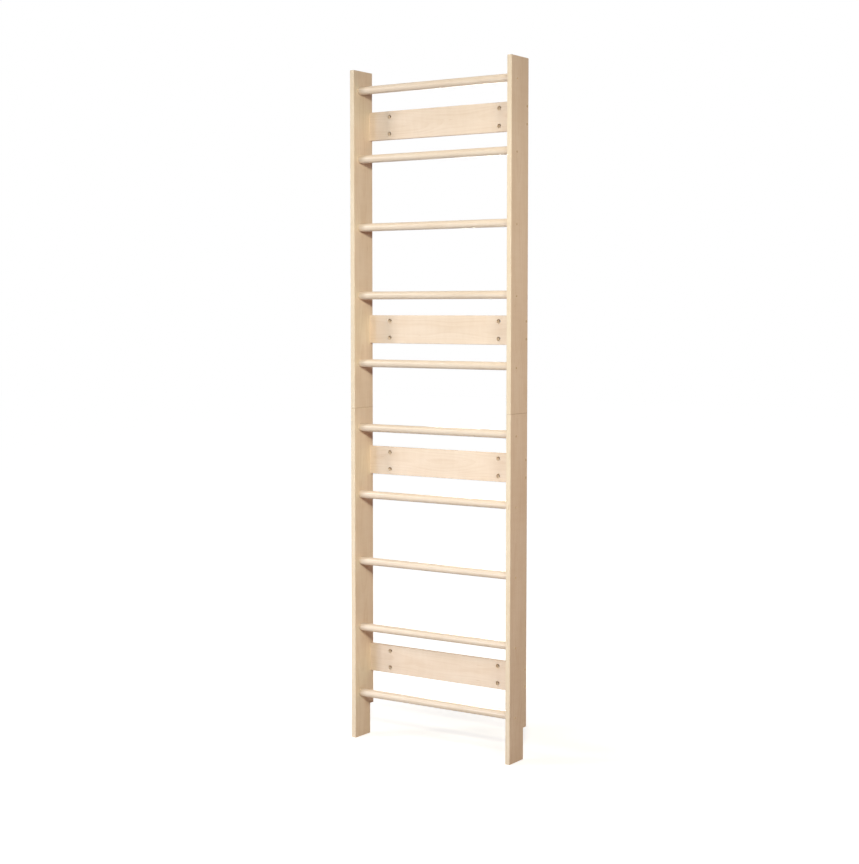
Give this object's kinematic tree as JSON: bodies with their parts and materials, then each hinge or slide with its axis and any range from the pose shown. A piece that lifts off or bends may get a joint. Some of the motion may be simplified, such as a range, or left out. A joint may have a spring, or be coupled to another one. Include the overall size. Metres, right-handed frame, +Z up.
{
  "type": "swedish wall bars",
  "caption": "Tall pale wooden climbing frame for a wall: round rungs and flat cross boards between two uprights, with wall screw holes and skirting notches.",
  "frame": {"origin": "on the floor, midway between the uprights and at mid depth", "axes": "+X along the rungs to the right as seen from the front, +Y towards the wall, +Z up"},
  "size_m": [0.665, 0.11, 2.38],
  "materials": {
    "birch_plank": "matt clear oil",
    "birch_rung": "sanded, matt clear oil",
    "beech_dowel": "plain, glued",
    "zinc_steel": "zinc plated"
  },
  "bodies": {
    "root": {"cross_board_1": "birch_plank", "cross_board_1_screws": "zinc_steel", "cross_board_2": "birch_plank", "cross_board_2_screws": "zinc_steel", "cross_board_3": "birch_plank", "cross_board_3_screws": "zinc_steel", "cross_board_4": "birch_plank", "cross_board_4_screws": "zinc_steel", "left_joint_dowels": "beech_dowel", "left_lower_rung_screws": "zinc_steel", "left_upper_rung_screws": "zinc_steel", "left_upright_lower": "birch_plank", "left_upright_upper": "birch_plank", "right_joint_dowels": "beech_dowel", "right_lower_rung_screws": "zinc_steel", "right_upper_rung_screws": "zinc_steel", "right_upright_lower": "birch_plank", "right_upright_upper": "birch_plank", "rung_01": "birch_rung", "rung_02": "birch_rung", "rung_03": "birch_rung", "rung_04": "birch_rung", "rung_05": "birch_rung", "rung_06": "birch_rung", "rung_07": "birch_rung", "rung_08": "birch_rung", "rung_09": "birch_rung", "rung_10": "birch_rung"}
  },
  "joints": []
}
